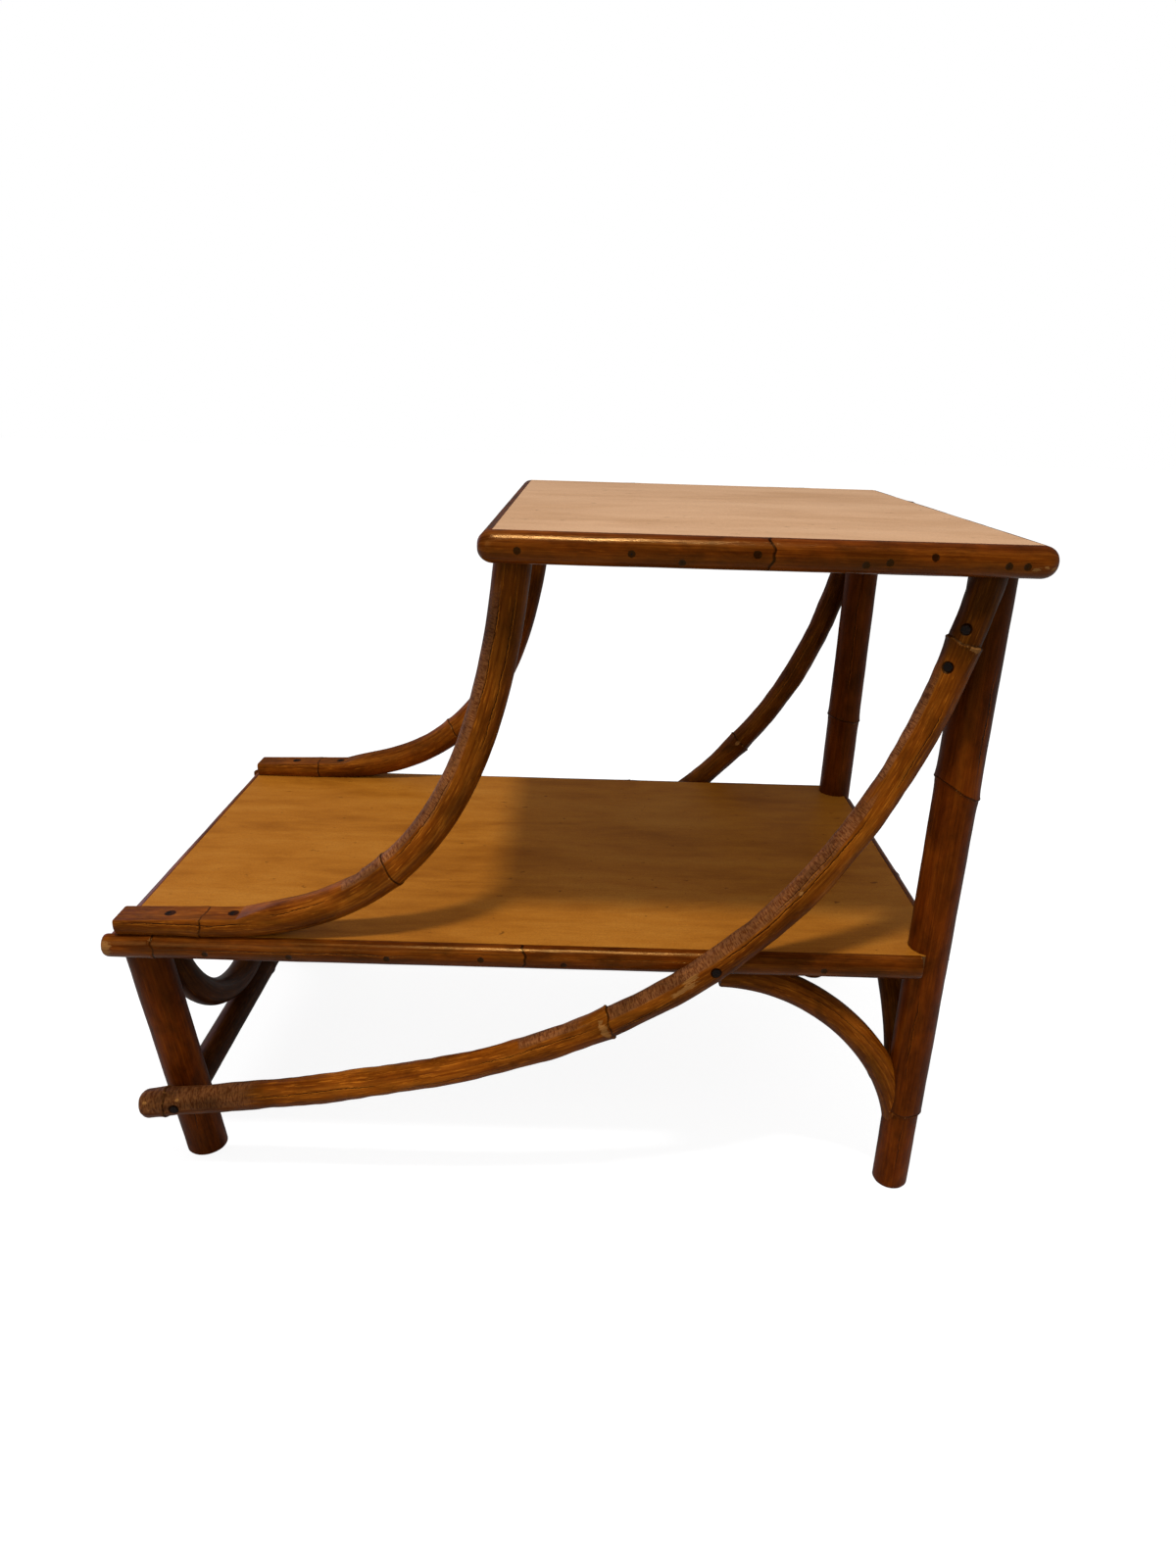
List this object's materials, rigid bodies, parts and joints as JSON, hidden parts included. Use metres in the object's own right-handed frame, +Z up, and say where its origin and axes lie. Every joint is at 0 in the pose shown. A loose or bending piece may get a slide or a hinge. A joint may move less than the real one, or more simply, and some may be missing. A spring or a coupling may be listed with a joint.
{
  "type": "two-tier side table",
  "caption": "Two-tier step side table: a low rectangular shelf and a raised top over its right half, carried by bent cane rails, braces, arches and legs.",
  "frame": {"origin": "on the floor, under the middle of the table's outer box", "axes": "+Z up; +X along the shelf towards the raised top; -Y is the front"},
  "size_m": [0.676, 0.4436, 0.555],
  "materials": {
    "cane": "glossy brown lacquer on bent cane",
    "trim": "glossy golden brown lacquer on split cane",
    "core": "bare plywood",
    "top_face": "satin light tan veneer",
    "shelf_face": "satin golden veneer",
    "nail": "dark oxidised steel"
  },
  "bodies": {
    "root": {"front_arch_brace": "cane", "front_arch_nail": "nail", "front_arch_pin": "nail", "front_brace_foot_nail": "nail", "front_brace_shelf_nail": "nail", "front_brace_top_nail": "nail", "front_brace_top_pin": "nail", "front_brace_upper_nail": "nail", "front_hoop_pin": "nail", "front_leg_screw": "nail", "front_long_brace": "cane", "front_rail_inner_nail": "nail", "front_rail_outer_nail": "nail", "front_rail_top_pin": "nail", "front_short_leg": "cane", "front_short_leg_pin": "nail", "front_side_arch_nail": "nail", "front_step_rail": "cane", "front_stretcher_pin": "nail", "front_tall_leg": "cane", "front_tall_leg_top_pin": "nail", "left_hoop": "cane", "left_stretcher": "cane", "rear_arch_brace": "cane", "rear_arch_nail": "nail", "rear_arch_pin": "nail", "rear_brace_foot_nail": "nail", "rear_brace_shelf_nail": "nail", "rear_brace_top_nail": "nail", "rear_brace_top_pin": "nail", "rear_brace_upper_nail": "nail", "rear_hoop_pin": "nail", "rear_leg_screw": "nail", "rear_long_brace": "cane", "rear_rail_inner_nail": "nail", "rear_rail_outer_nail": "nail", "rear_rail_top_pin": "nail", "rear_short_leg": "cane", "rear_short_leg_pin": "nail", "rear_side_arch_nail": "nail", "rear_step_rail": "cane", "rear_stretcher_pin": "nail", "rear_tall_leg": "cane", "rear_tall_leg_top_pin": "nail", "right_side_arch": "cane", "shelf_core": "core", "shelf_front_trim_left": "trim", "shelf_front_trim_right": "trim", "shelf_left_trim": "trim", "shelf_rear_trim": "trim", "shelf_right_trim": "trim", "shelf_veneer": "shelf_face", "side_arch_pin": "nail", "top_core": "core", "top_front_trim_left": "trim", "top_front_trim_right": "trim", "top_left_trim": "trim", "top_rear_trim": "trim", "top_right_trim": "trim", "top_veneer": "top_face"}
  },
  "joints": []
}
